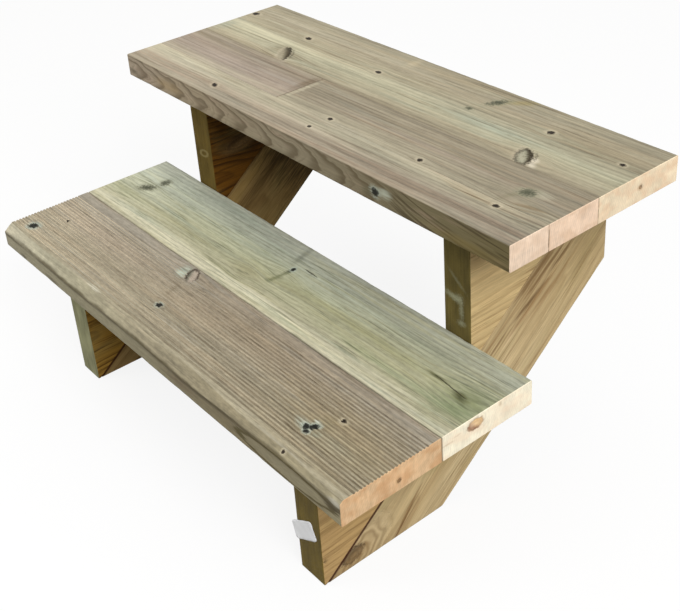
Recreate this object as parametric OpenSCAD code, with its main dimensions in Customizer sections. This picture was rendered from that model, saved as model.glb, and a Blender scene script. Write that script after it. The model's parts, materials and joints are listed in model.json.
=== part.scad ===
// Two wooden outdoor steps on a pair of built-up stringers.
//
// Each stringer is a sloping board that carries two triangular blocks, and each
// pair of blocks carries a tread. The steps stand on the level cuts at the foot
// of the stringers and are held at the back, where the plumb cuts and the upper
// tread's back edge lie in one upright plane against a deck or a wall.
//
// Frame: +X to the right of someone who faces the steps, +Y towards the wall,
// +Z up. The origin is the middle of the upper tread's back edge, on the wall
// plane. The pieces are drawn in the carpenter's frame, with y = 0 at the front
// of the stringers and z = 0 on the ground, and to_row_frame() moves them.
// All sizes are in millimetres.

/* [Steps] */
// Length of each tread, across the steps
tread_length = 800; // [600:10:1200]
// Height of one step, from tread to tread
rise = 200; // [170:5:210]
// Depth of one step, from the front of one block to the front of the next
going = 250; // [220:5:280]

/* [Tread boards] */
// Width of the planed board, two of which make a tread
board_width = 145; // [142:1:160]
// Thickness of the tread boards
board_thickness = 35; // [26:1:45]
// Radius of the eased arrises on planed boards
arris_radius = 2; // [1:0.5:4]

/* [Ribbed board] */
// Distance from one groove to the next
groove_pitch = 5; // [4:0.5:8]
// Radius of the half-round grooves
groove_radius = 1.25; // [0.75:0.25:1.75]
// Least smooth margin between the outer grooves and the board's edges
groove_margin = 19; // [18:1:30]
// Radius of the log whose bark edge left a wane along the board's front arris
log_radius = 110; // [80:5:200]

/* [Glued board] */
// Width of the stave along the front of the upper tread
front_stave_width = 62; // [40:1:100]
// Length of the shorter middle stave, from the tread's left end to the butt joint
short_stave_length = 303; // [150:1:650]

/* [Stringers] */
// Thickness of the stringer boards and the blocks
stringer_thickness = 45; // [35:1:60]
// Width of the sloping boards, across the slope
stringer_width = 120; // [95:5:150]
// Distance from the tread's end to the stringer's outer face
stringer_inset = 100; // [40:5:200]
// Height that the level foot cut takes off the feather tip of the lowest blocks
tip_cut = 4; // [1:1:20]

/* [Hidden] */
$fn = 48;

left = -1;
right = 1;
lower = 0;
upper = 1;

slope = rise / going;
slope_angle = atan(slope);
run = 2 * going;

tread_depth = 2 * board_width;
nosing = tread_depth - going;
seat_height = [rise - tip_cut, 2 * rise - tip_cut];
tread_front = [-nosing, going - nosing];

stringer_x = tread_length / 2 - stringer_inset - stringer_thickness / 2;
stringer_plumb_depth = stringer_width / cos(slope_angle);
foot_length = stringer_width / sin(slope_angle);
// The joint between board and blocks meets the ground this far behind the front
joint_setback = tip_cut / slope;
// Spare stock past each saw cut
spare = 20;
block_stock_width = rise * cos(slope_angle) + spare;

groove_count = floor((board_width - 2 * groove_margin) / groove_pitch) + 1;
first_groove = (board_width - (groove_count - 1) * groove_pitch) / 2;

// How far the wane reaches down the front edge, at even steps from left to right
wane_depth = [11, 10, 12, 9, 8, 12, 6, 7, 3];
wane_step = tread_length / (len(wane_depth) - 1);
// The log's axis lies this far behind and below the arris that the wane replaces
log_setback = log_radius * cos(50);
log_drop = log_radius * sin(50);
wane_limit = 18;

treated_tan = [0.70, 0.62, 0.46];
treated_olive = [0.62, 0.57, 0.38];
weathered_brown = [0.66, 0.60, 0.50];
pale_green = [0.72, 0.72, 0.56];

left_stringer_board();
right_stringer_board();
lower_left_block();
lower_right_block();
upper_left_block();
upper_right_block();
lower_tread_ribbed_board();
lower_tread_back_board();
upper_tread_front_stave();
upper_tread_short_stave();
upper_tread_long_stave();
upper_tread_back_board();

// From the carpenter's frame to the frame of the finished part
module to_row_frame()
    translate([0, -run, -(seat_height[upper] + board_thickness / 2)])
        children();

// A side view, drawn in y and z, made solid from x = 0 to x = length
module across(length)
    rotate([90, 0, 90])
        linear_extrude(length)
            children();

// The section of a sawn board, eased only on the edges that were planed
module board_section(width, thickness, ease_front = true, ease_back = true) {
    r = arris_radius;
    from = ease_front ? r : 0;
    to = ease_back ? width - r : width;
    translate([from, 0])
        square([to - from, thickness]);
    translate([0, r])
        square([width, thickness - 2 * r]);
    for (z = [r, thickness - r]) {
        if (ease_front)
            translate([r, z])
                circle(r);
        if (ease_back)
            translate([width - r, z])
                circle(r);
    }
}

// A planed timber that lies along the slope, tilted about its lower end: its
// thickness is centred on x = 0, and its edge is raised by rise_of_edge
module sloping_timber(length, width, rise_of_edge)
    rotate([slope_angle, 0, 0])
        translate([-stringer_thickness / 2, -spare, rise_of_edge])
            rotate([-90, -90, 0])
                linear_extrude(length + 2 * spare)
                    board_section(width, stringer_thickness);

// What the saw cuts leave of a timber, given as its side view
module sawn_to(outline)
    intersection() {
        children();
        translate([-stringer_thickness / 2, 0, 0])
            across(stringer_thickness)
                polygon(outline);
    }

// The sloping board, from the feather tip of the lowest block: cut level at the
// foot and plumb at the back
module stringer_board()
    sawn_to([
        [joint_setback, tip_cut],
        [joint_setback + foot_length, tip_cut],
        [run, run * slope - stringer_plumb_depth],
        [run, run * slope]
    ])
        sloping_timber(run / cos(slope_angle), stringer_width, -stringer_width);

// The triangular block, plumb in front and level on top, with its planed edge on
// the slope. The foot cut takes the tip off the lowest blocks
module block(step) {
    tip = step == lower ? [[0, tip_cut], [joint_setback, tip_cut]] : [[0, 0]];
    sawn_to(concat(tip, [[going, rise], [0, rise]]))
        sloping_timber(going / cos(slope_angle), block_stock_width, 0);
}

module stringer_board_at(side)
    color(treated_tan)
        to_row_frame()
            translate([side * stringer_x, 0, -tip_cut])
                stringer_board();

module block_at(side, step)
    color(treated_olive)
        to_row_frame()
            translate([side * stringer_x, step * going, step * rise - tip_cut])
                block(step);

// The place of a board or stave in a tread, set back from the tread's front edge
// and moved along from its left end
module tread_board(step, setback, from = 0)
    to_row_frame()
        translate([from - tread_length / 2, tread_front[step] + setback, seat_height[step]])
            children();

module left_stringer_board() stringer_board_at(left);
module right_stringer_board() stringer_board_at(right);
module lower_left_block() block_at(left, lower);
module lower_right_block() block_at(right, lower);
module upper_left_block() block_at(left, upper);
module upper_right_block() block_at(right, upper);

// Decking with half-round grooves along its top, as wide as both margins leave room for
module ribbed_section()
    difference() {
        board_section(board_width, board_thickness);
        for (i = [0 : groove_count - 1])
            translate([first_groove + i * groove_pitch, board_thickness])
                circle(groove_radius);
    }

// The outside of the log along the board's front arris, in tapers that swell and thin
module log_outside()
    for (i = [0 : len(wane_depth) - 2])
        translate([i * wane_step, log_setback, board_thickness - log_drop])
            rotate([0, 90, 0])
                cylinder(
                    h = wane_step,
                    r1 = norm([log_setback, log_drop - wane_depth[i]]),
                    r2 = norm([log_setback, log_drop - wane_depth[i + 1]]),
                    $fn = 180
                );

// What lies outside the log along the front arris, and so was never wood
module missing_arris()
    difference() {
        translate([0, 0, board_thickness - wane_limit])
            cube([tread_length, wane_limit, wane_limit]);
        log_outside();
    }

module lower_tread_ribbed_board()
    color(weathered_brown)
        tread_board(lower, 0)
            difference() {
                across(tread_length)
                    ribbed_section();
                missing_arris();
            }

module lower_tread_back_board()
    color(pale_green)
        tread_board(lower, board_width)
            across(tread_length)
                board_section(board_width, board_thickness);

module upper_tread_front_stave()
    color(weathered_brown)
        tread_board(upper, 0)
            across(tread_length)
                board_section(front_stave_width, board_thickness, ease_back = false);

// The two staves behind it share one row, meet end to end, and are glued flush to
// the pieces in front and behind
module middle_stave(from, length)
    color(weathered_brown)
        tread_board(upper, front_stave_width, from)
            across(length)
                board_section(
                    board_width - front_stave_width, board_thickness,
                    ease_front = false, ease_back = false
                );

module upper_tread_short_stave() middle_stave(0, short_stave_length);
module upper_tread_long_stave() middle_stave(short_stave_length, tread_length - short_stave_length);

module upper_tread_back_board()
    color(pale_green)
        tread_board(upper, board_width)
            across(tread_length)
                board_section(board_width, board_thickness, ease_front = false);
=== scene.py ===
"""The looks of the wooden outdoor steps: pressure-treated boards and timbers, each
with its own grain, knots, shakes and stains, on a plain pale floor.

Sizes along a board are in millimetres: u runs along the grain, v across the wide
face and w down into the wood. Everything else is in metres, in the row frame.
"""

import json
import math

import bmesh
import bpy
from mathutils import Matrix, Vector, noise
from mathutils.bvhtree import BVHTree

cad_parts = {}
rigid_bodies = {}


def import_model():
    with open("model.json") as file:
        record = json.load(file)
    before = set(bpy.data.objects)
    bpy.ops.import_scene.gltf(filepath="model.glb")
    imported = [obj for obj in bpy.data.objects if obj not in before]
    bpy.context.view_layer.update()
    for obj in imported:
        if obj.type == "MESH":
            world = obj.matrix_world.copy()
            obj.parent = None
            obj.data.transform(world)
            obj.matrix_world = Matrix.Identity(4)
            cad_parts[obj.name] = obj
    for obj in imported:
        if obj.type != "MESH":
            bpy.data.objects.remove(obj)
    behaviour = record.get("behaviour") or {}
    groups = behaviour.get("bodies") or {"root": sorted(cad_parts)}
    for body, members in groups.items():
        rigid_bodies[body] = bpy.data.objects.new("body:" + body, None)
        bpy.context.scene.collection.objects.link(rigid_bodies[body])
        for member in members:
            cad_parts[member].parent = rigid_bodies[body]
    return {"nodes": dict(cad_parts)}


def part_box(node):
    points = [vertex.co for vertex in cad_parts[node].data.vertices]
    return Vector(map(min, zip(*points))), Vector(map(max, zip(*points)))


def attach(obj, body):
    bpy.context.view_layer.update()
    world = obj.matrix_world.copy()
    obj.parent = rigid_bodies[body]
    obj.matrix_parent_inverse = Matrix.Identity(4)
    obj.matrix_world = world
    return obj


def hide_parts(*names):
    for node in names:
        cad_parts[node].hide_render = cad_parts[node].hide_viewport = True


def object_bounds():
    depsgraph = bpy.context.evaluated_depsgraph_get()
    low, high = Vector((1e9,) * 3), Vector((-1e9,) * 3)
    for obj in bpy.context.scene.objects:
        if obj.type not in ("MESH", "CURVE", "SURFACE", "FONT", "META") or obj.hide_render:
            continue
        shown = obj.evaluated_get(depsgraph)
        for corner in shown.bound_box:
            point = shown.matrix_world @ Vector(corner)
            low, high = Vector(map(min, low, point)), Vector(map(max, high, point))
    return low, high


for default_object in list(bpy.data.objects):
    bpy.data.objects.remove(default_object)

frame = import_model()
cad_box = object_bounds()

MM = 0.001

# The steps' own sizes, in millimetres
HALF_LENGTH = 400.0
TREAD_DEPTH = 290.0
RISE, GOING = 200.0, 250.0
TIP_CUT = 4.0

# A knot that lies as far along as this shows on the sawn end of its board
END_KNOTS = HALF_LENGTH - 1.0


# ---------------------------------------------------------------- finishes

def paint(red, green, blue):
    """A colour written in display values from 0 to 255, as linear light."""
    return tuple(
        c / 255 / 12.92 if c <= 10.3 else ((c / 255 + 0.055) / 1.055) ** 2.4
        for c in (red, green, blue)
    ) + (1.0,)


class Field:
    """A socket of a finish. Arithmetic on values adds the Math nodes for it."""

    def __init__(self, finish, socket):
        self.finish, self.socket = finish, socket

    def math(self, operation, *values):
        return self.finish.node(
            "Math", {"operation": operation}, dict(enumerate(values))
        )

    def __add__(self, other):
        return self.math("ADD", self, other)

    def __sub__(self, other):
        return self.math("SUBTRACT", self, other)

    def __rsub__(self, other):
        return self.math("SUBTRACT", other, self)

    def __mul__(self, other):
        return self.math("MULTIPLY", self, other)

    def __truediv__(self, other):
        return self.math("DIVIDE", self, other)

    def __pow__(self, other):
        return self.math("POWER", self, other)

    def __abs__(self):
        return self.math("ABSOLUTE", self)

    __radd__ = __add__
    __rmul__ = __mul__


class Finish:
    """One material, written as expressions."""

    def __init__(self, name):
        self.material = bpy.data.materials.new(name)
        self.material.use_nodes = True
        self.tree = self.material.node_tree
        self.tree.nodes.clear()

    def node(self, kind, settings, values, out=0):
        """Any node: its type, its settings, then the values or links of its sockets."""
        made = self.tree.nodes.new("ShaderNode" + kind)
        for key, setting in settings.items():
            if key == "stops":
                self.set_stops(made.color_ramp, setting)
            else:
                setattr(made, key, setting)
        for key, value in values.items():
            socket = made.inputs[key]
            if isinstance(value, Field):
                self.tree.links.new(value.socket, socket)
            else:
                socket.default_value = value
        return Field(self, made.outputs[out]) if made.outputs else None

    @staticmethod
    def set_stops(ramp, stops):
        while len(ramp.elements) < len(stops):
            ramp.elements.new(1.0)
        for element, (position, colour) in zip(ramp.elements, stops):
            element.position = position
            element.color = colour

    def smooth(self, value, low, high):
        """0 where value is below low, 1 above high, with a soft step between."""
        return self.node(
            "MapRange",
            {"interpolation_type": "SMOOTHSTEP"},
            {"Value": value, "From Min": low, "From Max": high},
        )

    def least(self, a, b):
        return self.node("Math", {"operation": "MINIMUM"}, {0: a, 1: b})

    def most(self, a, b):
        return self.node("Math", {"operation": "MAXIMUM"}, {0: a, 1: b})

    def vector(self, x, y, z):
        return self.node("CombineXYZ", {}, {0: x, 1: y, 2: z})

    def parts(self, vector):
        split = self.node("SeparateXYZ", {}, {0: vector})
        outputs = split.socket.node.outputs
        return [Field(self, outputs[i]) for i in range(3)]

    def dot(self, vector, direction):
        return self.node(
            "VectorMath", {"operation": "DOT_PRODUCT"}, {0: vector, 1: direction}, out=1
        )

    def scaled(self, colour, value):
        """A colour made lighter or darker."""
        return self.node(
            "VectorMath", {"operation": "SCALE"}, {0: colour, "Scale": value}
        )

    def mix(self, share, below, above):
        """The colour above laid over the colour below, by its share from 0 to 1."""
        return self.node(
            "Mix", {"data_type": "RGBA"}, {0: share, 6: below, 7: above}, out=2
        )

    def ramp(self, value, stops):
        """The colour at value, among stops of (position, colour)."""
        return self.node("ValToRGB", {"stops": stops}, {0: value})

    def wave(self, value):
        """A wave from 0 to 1."""
        return self.node("Math", {"operation": "SINE"}, {0: value}) * 0.5 + 0.5

    def pulse(self, phase, rise, fall):
        """Once in each turn of phase, a slow rise to 1 and a quick fall to 0."""
        turn = phase.math("FRACT", phase)
        return self.smooth(turn, *rise) * (1 - self.smooth(turn, *fall))

    def cloud(self, point, size, seed, detail=2.0):
        """Smooth noise about 0.5, stretched to the three lengths of size."""
        place = self.node(
            "VectorMath",
            {"operation": "MULTIPLY_ADD"},
            {0: point, 1: tuple(1 / s for s in size), 2: (seed, seed * 1.7, seed * 0.6)},
        )
        return self.node(
            "TexNoise",
            {},
            {"Vector": place, "Scale": 1.0, "Detail": detail, "Roughness": 0.55},
        )

    def within(self, point, centre, half_sizes, tilt=0.0):
        """How far a point lies from the middle of an oval body, 1 at its skin.
        The tilt turns the body from u towards v, in degrees."""
        local = self.node(
            "Mapping",
            {"vector_type": "TEXTURE"},
            {
                "Vector": point,
                "Location": centre,
                "Rotation": (0.0, 0.0, math.radians(tilt)),
                "Scale": half_sizes,
            },
        )
        length = self.node("VectorMath", {"operation": "LENGTH"}, {0: local}, out=1)
        return length, local


class Wood(Finish):
    """A piece of softwood, in its own grain directions."""

    def __init__(self, name, origin, along, across, into, seed):
        super().__init__(name)
        self.seed = seed
        place = self.node("TexCoord", {}, {}, out=3)
        local = self.node(
            "VectorMath", {"operation": "SUBTRACT"}, {0: place, 1: tuple(origin)}
        )
        self.u, self.v, self.w = (
            self.dot(local, tuple(Vector(direction) * 1000))
            for direction in (along, across, into)
        )
        self.point = self.vector(self.u, self.v, self.w)
        self.bent_v = self.v
        self.grain = self.point

    def bend_grain(self, knots, wander):
        """Leads the grain round each knot and lets it wander along the board."""
        v = self.v
        drift = self.spots((420.0, 900.0, 900.0), 3.1, 1.0)
        v = v + (drift - 0.5) * (2 * wander)
        for u, at_v, at_w, a, b, c, *_ in knots:
            reach, _local = self.within(
                self.point, (u, at_v, at_w), (a * 3.2 + 12, b * 2.4 + 5, c * 2.0)
            )
            pull = 1 - self.smooth(reach, 0.05, 1.0)
            v = v - (self.v - at_v) * pull * 0.72
        self.bent_v = v
        self.grain = self.vector(self.u, v, self.w)

    def streaks(self, along, across, seed, detail=2.0):
        return self.cloud(
            self.grain, (along, across, across), self.seed + seed, detail
        )

    def spots(self, size, seed, detail):
        """Smooth noise that doesn't follow the grain."""
        return self.cloud(self.point, size, self.seed + seed, detail)

    def late_wood(self, pith_v, pith_w, taper, spacing, wobble):
        """Growth rings about the pith: 0 in early wood, 1 at the end of late wood."""
        dv, dw = self.bent_v - pith_v, self.w - pith_w
        radius = (dv * dv + dw * dw) ** 0.5
        swell = self.cloud(self.grain, (130.0, 40.0, 40.0), self.seed + 7.7, 2.0)
        phase = (radius + self.u * taper + (swell - 0.5) * wobble) / spacing
        return self.pulse(phase, (0.30, 0.88), (0.90, 1.0))

    def patch(
        self, colour, centre, half_sizes, tilt, tint, share, soft=0.6, rim=0.0, point=None
    ):
        """A patch of colour: a stain, or painted shade or a painted highlight where a table
        says so. It is filled where rim is 0, else only an outline that wide. It is laid along
        the grain, or in the directions of another point."""
        reach, _local = self.within(point or self.grain, centre, half_sizes, tilt)
        ragged = reach + (self.frayed - 0.5) * (0.4 if rim else 1.3)
        if rim:
            mask = 1 - self.smooth(abs(ragged - 1), rim * 0.3, rim)
        else:
            mask = 1 - self.smooth(ragged, 1 - soft, 1 + soft * 0.4)
        return self.mix(mask * share, colour, paint(*tint))

    def crack(self, colour, start, end, width):
        """A drying crack from start to end, tapering to nothing at both."""
        (u0, v0, w0), (u1, v1, w1) = start, end
        half = math.hypot(u1 - u0, v1 - v0) / 2
        reach, local = self.within(
            self.point,
            ((u0 + u1) / 2, (v0 + v1) / 2, (w0 + w1) / 2),
            (half, width, 12.0),
            math.degrees(math.atan2(v1 - v0, u1 - u0)),
        )
        s, t, d = self.parts(local)
        wave = (self.raggedness - 0.5) * 1.6
        open_by = 1 - s * s
        mask = 1 - self.smooth(abs(t + wave), open_by * 0.2, open_by * 1.3 + 0.05)
        mask = mask * (1 - self.smooth(abs(s), 0.9, 1.0))
        mask = mask * (1 - self.smooth(abs(d), 0.8, 1.0))
        self.hollow = self.most(self.hollow, mask)
        return self.mix(mask * 0.78, colour, paint(58, 50, 34))

    def knots(self, colour, knots, look):
        """Knots of one look, laid over the wood."""
        if not knots:
            return colour
        nearest = None
        for u, v, w, a, b, c, tilt in knots:
            a, b = a * look["size"], b * look["size"]
            reach, _local = self.within(self.point, (u, v, w), (a, b, c), tilt)
            nearest = reach if nearest is None else self.least(nearest, reach)
        ragged = nearest + (self.raggedness - 0.5) * look["ragged"]
        halo = 1 - self.smooth(ragged, 0.9, look["halo_reach"])
        halo = halo * self.smooth(self.frayed, 0.30, 0.56)
        colour = self.mix(halo * look["halo_share"], colour, paint(*look["halo"]))
        body = 1 - self.smooth(ragged, 1 - look["soft"], 1 + look["soft"] * 0.6)
        rings = self.wave(ragged * look["rings"])
        inside = self.mix(rings * 0.55, paint(*look["body"]), paint(*look["dark"]))
        colour = self.mix(body * look["share"], colour, inside)
        rim = 1 - self.smooth(abs(ragged - 0.98), 0.02, look["rim"])
        self.hollow = self.most(self.hollow, rim * 0.6)
        self.raised = self.most(self.raised, body * look["proud"])
        return self.mix(rim * look["rim_share"], colour, paint(*look["rim_colour"]))

    def oval_knots(self, colour, knots, look):
        """Slanting branch knots, dark along one flank and paler on the other."""
        for u, v, w, a, b, c, tilt in knots:
            reach, local = self.within(self.point, (u, v, w), (a, b, c), tilt)
            pale_side = self.dot(local, look["pale_side"])
            ragged = reach + (self.raggedness - 0.5) * look["ragged"]
            body = 1 - self.smooth(ragged, 1 - look["soft"], 1 + look["soft"] * 0.75)
            flank = self.smooth(pale_side + (self.raggedness - 0.5) * 0.7, -0.75, look["turn"])
            body = body * (1.0 - flank * look["fade"])
            lines = self.wave((reach + self.unsteady * look["sway"]) * look["rings"])
            inside = self.mix(flank, paint(*look["dark"]), paint(*look["body"]))
            inside = self.mix(lines * look["lines"], inside, paint(*look["rim_colour"]))
            flecks = self.spots((2.4, 1.3, 2.0), 2.2, 1.0)
            specked = self.smooth(flecks, 0.55, 0.72) * flank * look["flecks"]
            inside = self.mix(specked, inside, paint(196, 188, 164))
            apron = (1 - self.smooth(ragged, 0.9, look["halo_reach"])) * (0.35 + flank * 0.65)
            colour = self.mix(apron * look["halo_share"], colour, paint(*look["halo"]))
            colour = self.mix(body * look["share"], colour, inside)
            rim = 1 - self.smooth(abs(ragged - 0.97), 0.03, look["rim"])
            rim = rim * (1.0 - flank * look["open_flank"])
            along, _across, _down = self.parts(local)
            rim = rim * (1.0 - self.smooth(along, 0.2, 0.9) * look["open_end"])
            echo = 1 - self.smooth(abs(ragged - 1.5), 0.04, 0.22)
            echo = echo * (1 - self.smooth(abs(along), 0.2, 1.0))
            rim = self.most(rim, echo * (1.0 - flank) * look["echo"])
            colour = self.mix(rim * look["rim_share"], colour, paint(*look["rim_colour"]))
            self.hollow = self.most(self.hollow, rim * 0.7)
            self.raised = self.most(self.raised, body * look["proud"])
        return colour

    def grain_lines(self, colour, along, across, seed, low, share, tint):
        """Short dark lines of late wood, stronger in some places than in others."""
        line = self.smooth(self.streaks(along, across, seed, 2.0), low, low + 0.13)
        where = self.smooth(self.streaks(along * 1.7, across * 7, seed + 0.7, 1.0), 0.36, 0.62)
        self.lines = self.most(self.lines, line * where)
        return self.mix(line * where * share, colour, tint)

    def start(self, knots, wander):
        self.bend_grain(knots, wander)
        self.raggedness = self.spots((3.5, 3.5, 3.5), 1.3, 2.0)
        self.frayed = self.cloud(self.grain, (26.0, 2.6, 2.6), self.seed + 1.9, 2.0)
        self.unsteady = self.spots((22.0, 22.0, 22.0), 2.5, 1.0)
        self.hollow = self.raised = self.lines = self.raggedness * 0.0

    def done(self, colour, roughness, relief, depth, shine=0.2):
        """Closes the finish: relief from 0 to 1 stands depth millimetres high."""
        height = relief + self.raised * 0.8 - self.hollow * 2.2
        bump = self.node(
            "Bump", {}, {"Strength": 1.0, "Distance": depth * MM, "Height": height}
        )
        shader = self.node(
            "BsdfPrincipled",
            {},
            {
                "Base Color": colour, "Roughness": roughness, "Normal": bump,
                "Specular IOR Level": shine,
            },
        )
        self.node("OutputMaterial", {}, {"Surface": shader})
        return self.material


# Looks of the knots
PIN = dict(
    body=(36, 26, 15), dark=(16, 11, 6), share=0.98, rings=6.0, ragged=1.1,
    halo=(208, 196, 168), halo_reach=2.6, halo_share=0.52, size=0.84, soft=0.34,
    rim=0.25, rim_share=0.35, rim_colour=(74, 60, 40), proud=0.0,
)
DEAD = dict(
    body=(26, 26, 19), dark=(8, 9, 7), share=0.98, rings=9.0, ragged=1.35,
    halo=(184, 194, 180), halo_reach=2.4, halo_share=0.80, size=0.86, soft=0.30,
    rim=0.34, rim_share=0.6, rim_colour=(30, 28, 20), proud=0.2,
)
OVAL = dict(
    body=(158, 158, 136), dark=(54, 46, 24), share=0.92, rings=8.5, ragged=0.9,
    halo=(212, 198, 172), halo_reach=1.6, halo_share=0.45, flecks=0.7,
    rim=0.36, rim_share=0.92, rim_colour=(44, 36, 16), proud=0.12, open_flank=0.40,
    pale_side=(0.25, 1.0, 0.0), turn=0.10, echo=0.55, open_end=0.0, lines=0.50,
    soft=0.16, sway=1.5, fade=0.20,
)
DARK_OVAL = dict(
    OVAL, body=(138, 130, 106), dark=(62, 48, 22), turn=0.55, rings=6.0, flecks=0.35,
    open_flank=0.95, fade=0.52, soft=0.30, lines=0.35,
)
RING = dict(
    body=(178, 164, 148), dark=(92, 94, 78), share=0.85, rings=7.0, ragged=0.8,
    halo=(182, 176, 158), halo_reach=1.5, halo_share=0.4, flecks=0.3,
    rim=0.30, rim_share=0.85, rim_colour=(70, 56, 44), proud=0.15, open_flank=0.0,
    pale_side=(0.2, -1.0, 0.0), turn=0.0, echo=0.0, open_end=0.85, lines=0.15,
    soft=0.16, sway=0.35, fade=0.0,
)
BRANCH = dict(
    body=(128, 100, 62), dark=(74, 54, 30), share=0.75, rings=10.0, ragged=0.9,
    halo=(146, 116, 74), halo_reach=2.4, halo_share=0.5, flecks=0.15,
    rim=0.3, rim_share=0.6, rim_colour=(62, 46, 26), proud=0.3, open_flank=0.4,
    pale_side=(0.25, 1.0, 0.0), turn=0.55, echo=0.4, open_end=0.0, lines=0.45,
    soft=0.16, sway=0.6, fade=0.0,
)
SOUND = dict(
    body=(240, 200, 142), dark=(154, 100, 62), share=0.88, rings=7.0, ragged=0.75,
    halo=(236, 214, 180), halo_reach=1.6, halo_share=0.5, flecks=0.2,
    rim=0.34, rim_share=0.75, rim_colour=(130, 82, 50), proud=0.3, open_flank=0.45,
    pale_side=(0.0, -1.0, -0.7), turn=0.30, echo=0.0, open_end=0.0, lines=0.30,
    soft=0.16, sway=0.9, fade=0.0,
)
SWIRL = dict(
    body=(204, 180, 138), dark=(162, 132, 88), share=0.66, rings=24.0, ragged=0.30,
    halo=(196, 172, 128), halo_reach=1.2, halo_share=0.0, flecks=0.0,
    rim=0.14, rim_share=0.0, rim_colour=(116, 88, 50), proud=0.0, open_flank=0.2,
    pale_side=(1.0, -0.3, 0.0), turn=0.45, echo=0.0, open_end=0.0, lines=0.80,
    soft=0.50, sway=0.5, fade=0.0,
)
MOSSY = dict(
    body=(78, 80, 62), dark=(42, 45, 32), share=0.88, rings=8.0, ragged=2.0,
    halo=(140, 141, 116), halo_reach=2.3, halo_share=0.66, size=1.04, soft=0.7,
    rim=0.4, rim_share=0.15, rim_colour=(60, 58, 40), proud=0.0,
)
ROUND_LOOKS = (MOSSY, DEAD, PIN)
SLANTING_LOOKS = (OVAL, DARK_OVAL, RING, SWIRL, BRANCH, SOUND)


def with_look(knots, look):
    """The knots that have this look, each without it."""
    return [knot[:7] for knot in knots if knot[7] is look]


def lay_knots(wood, colour, knots):
    """Knots of every look, the round ones first."""
    for look in ROUND_LOOKS:
        colour = wood.knots(colour, with_look(knots, look), look)
    for look in SLANTING_LOOKS:
        colour = wood.oval_knots(colour, with_look(knots, look), look)
    return colour
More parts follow.
